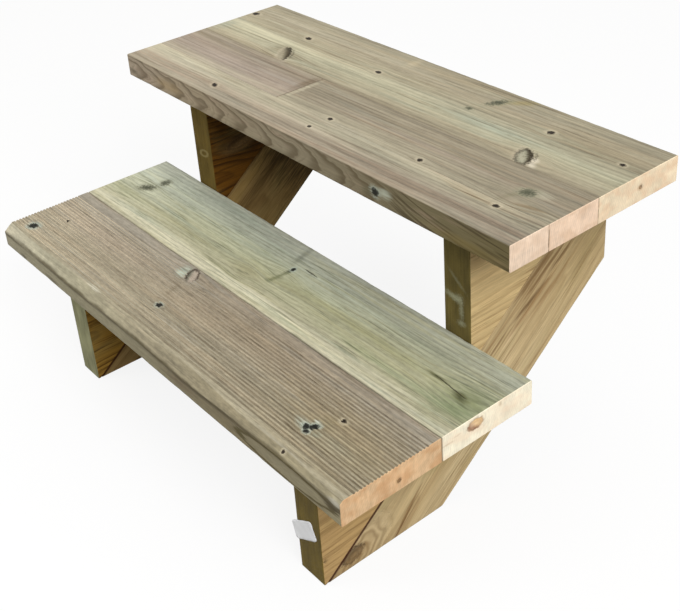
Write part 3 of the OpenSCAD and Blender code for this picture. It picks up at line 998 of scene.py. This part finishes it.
def timber_finish(node, timber):
    lo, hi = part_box(node)
    sloping = "block" not in node
    side = 1 if hi.x > 0 else -1
    inner = lo.x if side > 0 else hi.x
    if sloping:
        origin = (inner, -2 * GOING * MM, lo.z - TIP_CUT * MM)
        along, across = ALONG_SLOPE, DOWN_SLOPE
    else:
        origin, along, across = (inner, lo.y, hi.z), (0, 1, 0), (0, 0, -1)
    wood = Wood(node + "_finish", origin, along, across, (side, 0, 0), timber["seed"])
    wood.start([k[:7] for k in timber["knots"]], 12.0)
    u, v, w = wood.u, wood.v, wood.w

    fine = wood.streaks(70.0, 1.5, 0.3, 3.0)
    medium = wood.streaks(190.0, 5.0, 0.9, 3.0)
    broad = wood.streaks(340.0, 20.0, 1.9)
    pores = wood.cloud(wood.grain, (14.0, 1.1, 1.1), wood.seed + 4.4, 3.0)
    pith_v, pith_w = timber["pith"]
    late = wood.late_wood(pith_v, pith_w, timber["taper"], timber["spacing"], 11.0)
    tone = (
        1.03
        + (broad - 0.5) * 0.34
        + (medium - 0.5) * 0.44
        + (fine - 0.5) * 0.36
        + (pores - 0.5) * 0.44
    )
    brown = paint(*timber["brown"])
    ringed = late * timber["ring_share"] * 2.2 * wood.smooth(broad, 0.25, 0.6)
    colour = wood.mix(ringed, paint(*timber["base"]), brown)
    olive = wood.spots((120.0, 60.0, 60.0), 9.1, 2.0)
    colour = wood.mix(wood.smooth(olive, 0.5, 0.7) * 0.30, colour, paint(152, 140, 88))
    for stain in timber["patches"]:
        colour = wood.patch(colour, *stain)
    colour = wood.grain_lines(colour, 90.0, 1.9, 11.3, 0.53, 0.60, brown)
    colour = wood.grain_lines(colour, 220.0, 4.6, 14.9, 0.56, 0.50, brown)
    colour = wood.scaled(colour, tone)
    colour = lay_knots(wood, colour, timber["knots"])

    gap = paint(62, 28, 6)
    if sloping:
        near = 1 - wood.smooth(abs(v), 0.9, 3.4)
        near = near * (1 - wood.smooth(u, 210.0, 400.0) * 0.78)
        colour = wood.mix(near * timber["joint"], colour, gap)
        _x, y, z = wood.parts(wood.node("TexCoord", {}, {}, out=3))
        plumb = wood.smooth(y, -1.2 * MM, -0.4 * MM)
        foot = 1 - wood.smooth(z, lo.z + 0.4 * MM, lo.z + 1.2 * MM)
        cut_tone = wood.spots((3.0, 3.0, 3.0), 5.0, 3.0)
        cut_blotch = wood.spots((60.0, 60.0, 22.0), 6.0, 3.0)
        cut = wood.scaled(
            paint(150, 134, 94)[:3],
            1.0 + (cut_tone - 0.5) * 0.5 + (cut_blotch - 0.5) * 0.7 - late * 0.16,
        )
        colour = wood.mix(wood.most(plumb, foot), colour, cut)
    else:
        # The joint with the sloping board below
        joint = (v * math.cos(SLOPE) + u * math.sin(SLOPE)) - RISE * math.cos(SLOPE)
        near = wood.smooth(joint, -3.2, -0.8)
        colour = wood.mix(near * timber["joint"], colour, gap)
        # The plumb front is end grain in its own front colour, which on the right blocks and
        # the upper left block is partly painted shade from under the tread's nosing
        face = 1 - wood.smooth(u, 0.4, 1.0)
        lines = wood.spots((60.0, 70.0, 2.4), 3.3, 3.0)
        blotch = wood.spots((40.0, 44.0, 18.0), 6.3, 2.0)
        front = wood.scaled(
            paint(*timber["front"])[:3], 1.0 + (lines - 0.5) * 0.8 + (blotch - 0.5) * 1.3
        )
        if node == "upper_right_block":
            on_front = wood.vector(w, v, u)
            for across, down, half_length, half_width, tilt, share in (
                (22, 84, 20.0, 3.0, 40, 0.26), (14, 110, 17.0, 5.0, 10, 0.62),
                (24, 110, 10.0, 7.0, -20, 0.50), (29, 124, 17.0, 4.4, 88, 0.52),
                (29, 144, 8.0, 5.0, -8, 0.50),
            ):
                front = wood.patch(
                    front, (across, down, 0), (half_length, half_width, 40), tilt,
                    (168, 170, 142), share, 1.0, point=on_front,
                )
        if node == "upper_left_block":
            front = wood.patch(
                front, (22, 108, 0), (10, 5, 40), 14, (158, 144, 100), 0.5, 0.6, 0.5,
                point=wood.vector(w, v, u),
            )
        colour = wood.mix(face, colour, front)

    rough = 0.70 - (fine - 0.5) * 0.2
    relief = fine * 0.5 + medium * 0.35 + pores * 0.3 - late * 0.2 - wood.lines * 0.3
    return wood.done(colour, rough, relief, 0.45, 0.2 if side > 0 else 0.06)


# ---------------------------------------------------------------- pieces

def smooth_faces(mesh, sharp_degrees=32):
    mesh.polygons.foreach_set("use_smooth", [True] * len(mesh.polygons))
    mesh.set_sharp_from_angle(angle=math.radians(sharp_degrees))


def stand_in(name, mesh, node, material):
    """A finished piece that stands for a CAD node."""
    piece = bpy.data.objects.new(name, mesh)
    bpy.context.scene.collection.objects.link(piece)
    mesh.materials.clear()
    mesh.materials.append(material)
    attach(piece, "root")
    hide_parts(node)


GROOVE_PITCH = 5 * MM
GROOVE_RADIUS = 1.25 * MM
GROOVES = 22
EASE = 2 * MM


def section_rays(lo, hi, grooved, front_corner):
    """Rays round a board's section, as start (y, z) and direction (y, z). They fan
    out at the corners and stand square to the faces between."""
    middle_y, middle_z = (lo.y + hi.y) / 2, (lo.z + hi.z) / 2
    corners = {
        (-1, 1): front_corner, (1, 1): EASE, (1, -1): EASE, (-1, -1): EASE,
    }
    rays = []

    def corner(side_y, side_z, first_angle):
        size = corners[side_y, side_z]
        cy = (hi.y if side_y > 0 else lo.y) - side_y * size
        cz = (hi.z if side_z > 0 else lo.z) - side_z * size
        steps = 5 if size <= EASE else 16
        for i in range(steps + 1):
            angle = math.radians(first_angle + 90 * i / steps)
            rays.append(((cy, cz), (math.cos(angle), math.sin(angle))))

    # Top face, from the back corner to the front corner
    corner(1, 1, 0)
    top_start, top_stop = hi.y - EASE, lo.y + front_corner
    if grooved:
        columns = []
        for i in range(GROOVES - 1, -1, -1):
            centre = middle_y + (i - (GROOVES - 1) / 2) * GROOVE_PITCH
            for share in (1.01, 0.985, 0.87, 0.5, 0.0, -0.5, -0.87, -0.985, -1.01):
                columns.append(centre + share * GROOVE_RADIUS)
        columns = [c for c in columns if c > top_stop]
        columns = [top_start - (top_start - columns[0]) * k / 4 for k in (1, 2, 3)] + columns
    else:
        count = round((top_start - top_stop) / (4 * MM))
        columns = [top_start + (top_stop - top_start) * i / count for i in range(1, count)]
    rays += [((y, middle_z), (0.0, 1.0)) for y in columns]
    corner(-1, 1, 90)
    for i in range(1, 7):
        z = hi.z - front_corner + (lo.z + EASE - hi.z + front_corner) * i / 7
        rays.append(((middle_y, z), (-1.0, 0.0)))
    corner(-1, -1, 180)
    count = round((hi.y - lo.y) / (5 * MM))
    for i in range(1, count):
        y = lo.y + EASE + (hi.y - lo.y - 2 * EASE) * i / count
        rays.append(((y, middle_z), (0.0, -1.0)))
    corner(1, -1, 270)
    for i in range(1, 7):
        z = lo.z + EASE + (hi.z - lo.z - 2 * EASE) * i / 7
        rays.append(((middle_y, z), (1.0, 0.0)))
    return rays


def tread_mesh(name, node, seed):
    """A board of a tread on the CAD surface, in fine steps, with the small hollows
    of planed and weathered wood. Nothing stands proud of the solid."""
    source = frame["nodes"][node].data
    tree = BVHTree.FromPolygons(
        [v.co for v in source.vertices], [p.vertices for p in source.polygons]
    )
    lo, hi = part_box(node)
    grooved = node == "lower_tread_ribbed_board"
    front_corner = 16 * MM if grooved else EASE
    rays = section_rays(lo, hi, grooved, front_corner)
    glued_sides = joint_sides(node) if node in GLUED else []
    ends = (0.0, 0.12 * MM, 0.35 * MM, 0.8 * MM)
    set_back = dict(zip(ends, (0.55 * MM, 0.22 * MM, 0.06 * MM, 0.0)))
    step = (7 if grooved else 5) * MM
    count = round((hi.x - lo.x) / step)
    stations = [lo.x + e for e in ends]
    stations += [lo.x + (hi.x - lo.x) * i / count for i in range(1, count)]
    stations += [hi.x - e for e in reversed(ends)]
    points = []
    for x in stations:
        at = min(max(x, lo.x + 0.9 * MM), hi.x - 0.9 * MM)
        from_end = min(x - lo.x, hi.x - x)
        inset = next((set_back[e] for e in ends if abs(from_end - e) < 1e-7), 0.0)
        for (y, z), (dy, dz) in rays:
            hit, normal = tree.ray_cast(Vector((at, y, z)), Vector((0.0, dy, dz)))[:2]
            wave = noise.noise(Vector((x * 9, hit.y * 30, hit.z * 30)))
            dent = noise.noise(Vector((x * 60, hit.y * 160, hit.z * 160)))
            eased = abs(normal.y) > 0.05 and abs(normal.z) > 0.05
            back_by = (0.10 + 0.10 * wave) * MM
            back_by += max(0.0, dent - 0.15) * (0.9 if eased else 0.15) * MM
            if grooved and hit.z > hi.z - 14 * MM and hit.y < lo.y + 15 * MM and eased:
                back_by += (0.35 + 0.5 * noise.noise(Vector((x * 28, hit.z * 90, seed)))) * MM
            if abs(normal.y) > 0.9 and (1 if normal.y > 0 else -1) in glued_sides:
                back_by = 0.0
            normal = Vector((0.0, normal.y, normal.z)).normalized()
            points.append((
                x,
                hit.y - normal.y * back_by - dy * inset,
                hit.z - normal.z * back_by - dz * inset,
            ))
    ring = len(rays)
    faces = []
    for s in range(len(stations) - 1):
        for j in range(ring):
            k = (j + 1) % ring
            a, b = s * ring, (s + 1) * ring
            faces.append((a + j, b + j, b + k, a + k))
    last = (len(stations) - 1) * ring
    faces.append(tuple(range(ring)))
    faces.append(tuple(last + j for j in reversed(range(ring))))
    mesh = bpy.data.meshes.new(name)
    mesh.from_pydata(points, [], faces)
    mesh.validate()
    bm = bmesh.new()
    bm.from_mesh(mesh)
    bmesh.ops.recalc_face_normals(bm, faces=bm.faces)
    bmesh.ops.triangulate(bm, faces=[f for f in bm.faces if len(f.verts) > 4])
    bm.to_mesh(mesh)
    bm.free()
    smooth_faces(mesh)
    for polygon in mesh.polygons:
        if abs(polygon.normal.x) > 0.999:
            polygon.use_smooth = False
    return mesh


def timber_mesh(name, node, seed):
    """A stringer timber from its CAD solid, with its saw cuts broken at the edges
    and its faces in fine steps, with shallow hollows."""
    bm = bmesh.new()
    bm.from_mesh(frame["nodes"][node].data)
    bmesh.ops.remove_doubles(bm, verts=bm.verts, dist=1e-6)
    bmesh.ops.dissolve_limit(bm, angle_limit=0.02, verts=bm.verts, edges=bm.edges)
    sharp = [e for e in bm.edges if len(e.link_faces) == 2 and e.calc_face_angle(0) > 0.6]
    bmesh.ops.bevel(
        bm, geom=sharp, offset=0.9 * MM, segments=3, profile=0.5,
        affect="EDGES", clamp_overlap=True,
    )
    step = 9
    for normal in (Vector(ALONG_SLOPE), Vector(DOWN_SLOPE), Vector((1, 0, 0))):
        reaches = [v.co.dot(normal) for v in bm.verts]
        at = min(reaches) + step * MM * 0.7
        while at < max(reaches):
            bmesh.ops.bisect_plane(
                bm, geom=bm.verts[:] + bm.edges[:] + bm.faces[:],
                plane_co=normal * at, plane_no=normal,
            )
            at += step * MM
    bm.normal_update()
    for v in bm.verts:
        wave = noise.noise(v.co * 22 + Vector((seed, 0, 0)))
        dent = noise.noise(v.co * 90 + Vector((0, seed, 0)))
        back_by = 0.12 + 0.12 * wave + max(0.0, dent - 0.2) * 0.35
        v.co -= v.normal * back_by * MM
    mesh = bpy.data.meshes.new(name)
    bm.to_mesh(mesh)
    bm.free()
    smooth_faces(mesh)
    return mesh


for node, board in TREADS.items():
    stand_in(
        node.replace("_tread", "") + "_wood",
        tread_mesh(node + "_mesh", node, board["seed"]),
        node, tread_finish(node, board),
    )
for node, timber in TIMBERS.items():
    stand_in(
        node + "_wood",
        timber_mesh(node + "_mesh", node, timber["seed"]),
        node, timber_finish(node, timber),
    )


# ---------------------------------------------------------------- tag

def tag_piece():
    """A blank paper tag on the front of the lower right block. It stands out past the
    block's inner edge without folding round it, and lifts more the farther out it is."""
    lo, _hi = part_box("lower_right_block")
    columns, rows, round_off = 24, 12, 0.28
    # Its corners on the block's front, as x and the height above the block's foot
    corners = {
        (-1, 1): (-10.0, 70.0), (1, 1): (28.5, 93.0),
        (1, -1): (38.5, 67.0), (-1, -1): (-1.5, 44.5),
    }
    points = []
    for i in range(columns + 1):
        for j in range(rows + 1):
            s, t = 2 * i / columns - 1, 2 * j / rows - 1
            past_s, past_t = (max(0.0, abs(q) - (1 - round_off)) / round_off for q in (s, t))
            if past_s and past_t:
                pull = max(past_s, past_t) / math.hypot(past_s, past_t)
                s, t = (
                    math.copysign(1 - round_off + round_off * past * pull, q)
                    for past, q in ((past_s, s), (past_t, t))
                )
            x, z = (
                sum(
                    corner[k] * (1 + s * side) * (1 + t * level) / 4
                    for (side, level), corner in corners.items()
                )
                for k in (0, 1)
            )
            lift = 0.35 + 0.15 * math.sin(i * 0.7 + j * 0.6) + 3.0 * max(0.0, -s - 0.45) ** 2
            points.append((lo.x + x * MM, lo.y - lift * MM, lo.z + z * MM))
    line = rows + 1
    faces = [
        (k, k + line, k + line + 1, k + 1)
        for i in range(columns)
        for k in range(i * line, i * line + rows)
    ]
    mesh = bpy.data.meshes.new("paper_tag_mesh")
    mesh.from_pydata(points, [], faces)
    piece = bpy.data.objects.new("paper_tag", mesh)
    bpy.context.scene.collection.objects.link(piece)
    solid = piece.modifiers.new("thickness", "SOLIDIFY")
    solid.thickness = 0.25 * MM
    smooth_faces(mesh, 50)
    paper = Finish("paper_finish")
    place = paper.node("TexCoord", {}, {}, out=3)
    fibre = paper.cloud(place, (0.0012, 0.0012, 0.0012), 3.0, 3.0)
    shade = paper.cloud(place, (0.012, 0.012, 0.009), 8.0, 2.0)
    tone = 0.99 + (fibre - 0.5) * 0.05 + (shade - 0.5) * 0.10
    colour = paper.scaled(paint(250, 251, 253)[:3], tone)
    bump = paper.node(
        "Bump", {},
        {"Strength": 1.0, "Distance": 0.05 * MM, "Height": fibre + shade * 2},
    )
    shader = paper.node(
        "BsdfPrincipled", {},
        {"Base Color": colour, "Roughness": 0.55, "Normal": bump},
    )
    paper.node("OutputMaterial", {}, {"Surface": shader})
    mesh.materials.append(paper.material)
    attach(piece, "root")


tag_piece()


# ---------------------------------------------------------------- stage

scene = bpy.context.scene
low, high = cad_box

FLOOR_SIZE = 14.0
floor_mesh = bpy.data.meshes.new("floor_mesh")
half = FLOOR_SIZE / 2
floor_mesh.from_pydata(
    [(-half, -half, low.z), (half, -half, low.z), (half, half, low.z), (-half, half, low.z)],
    [], [(0, 1, 2, 3)],
)
floor = bpy.data.objects.new("floor", floor_mesh)
scene.collection.objects.link(floor)


def seen_directly(finish):
    """1 for what the camera, gloss and glass see, 0 for light that bounces on."""
    seen = None
    for name in ("Is Camera Ray", "Is Glossy Ray", "Is Transmission Ray"):
        path = finish.node("LightPath", {}, {}, out=name)
        seen = path if seen is None else finish.most(seen, path)
    return seen


pale = Finish("pale_floor")
matt = pale.node("BsdfDiffuse", {}, {"Color": paint(128, 126, 122)})
white = pale.node("Emission", {}, {"Color": (1, 1, 1, 1), "Strength": 1.0})
shown = pale.node("BsdfDiffuse", {}, {"Color": (0.9, 0.9, 0.9, 1)})
lit = pale.node("MixShader", {}, {0: 0.86, 1: shown, 2: white})
surface = pale.node("MixShader", {}, {0: seen_directly(pale), 1: matt, 2: lit})
pale.node("OutputMaterial", {}, {"Surface": surface})
floor_mesh.materials.append(pale.material)

world = bpy.data.worlds.new("studio")
scene.world = world
world.use_nodes = True
sky = Finish.__new__(Finish)
sky.tree = world.node_tree
sky.tree.nodes.clear()
height = sky.parts(sky.node("TexCoord", {}, {}, out=0))[2]
dome = sky.node(
    "Background", {},
    {
        "Color": (1.0, 0.99, 0.97, 1),
        "Strength": sky.smooth(height, 0.02, 0.85) * 0.66 + 0.13,
    },
)
backdrop = sky.node("Background", {}, {"Color": (1, 1, 1, 1), "Strength": 1.0})
sky.node(
    "OutputWorld", {},
    {"Surface": sky.node("MixShader", {}, {0: seen_directly(sky), 1: dome, 2: backdrop})},
)


def soft_lamp(name, place, aim, size, power):
    """A white disc lamp, turned from its place to its aim and hidden from the camera."""
    lamp = bpy.data.lights.new(name, "AREA")
    lamp.shape, lamp.size, lamp.energy = "DISK", size, power
    holder = bpy.data.objects.new(name, lamp)
    scene.collection.objects.link(holder)
    holder.location = place
    holder.rotation_mode = "QUATERNION"
    holder.rotation_quaternion = (Vector(aim) - Vector(place)).to_track_quat("-Z", "Y")
    holder.visible_camera = False


centre = (low + high) / 2
soft_lamp("key_lamp", centre + Vector((3.6, -0.9, 2.7)), centre, 2.4, 160.0)
soft_lamp("fill_lamp", centre + Vector((-1.5, -2.2, 1.5)), centre, 1.6, 20.0)

# ---------------------------------------------------------------- camera

camera = bpy.data.objects.new("camera", bpy.data.cameras.new("camera"))
scene.collection.objects.link(camera)
scene.camera = camera
AZIMUTH, ELEVATION, ROLL = 52.62, 29.14, -4.20
# The focal length and the shift are shares of the picture's width
SENSOR_WIDTH, FOCAL_LENGTH, SHIFT = 36.0, 1.70216176, -0.15514706
camera.data.sensor_width = SENSOR_WIDTH
camera.data.lens = SENSOR_WIDTH * FOCAL_LENGTH
camera.data.shift_y = SHIFT
camera.location = (1.11904, -1.06012, 0.66738)
a, e = math.radians(AZIMUTH), math.radians(ELEVATION)
toward = Vector((-math.sin(a) * math.cos(e), math.cos(a) * math.cos(e), -math.sin(e)))
right = toward.cross(Vector((0, 0, 1))).normalized()
up = right.cross(toward)
r = math.radians(ROLL)
right, up = right * math.cos(r) + up * math.sin(r), up * math.cos(r) - right * math.sin(r)
camera.rotation_mode = "QUATERNION"
camera.rotation_quaternion = Matrix((right, up, -toward)).transposed().to_quaternion()
camera.data.clip_start, camera.data.clip_end = 0.02, 60.0

scene.view_settings.view_transform = "Standard"
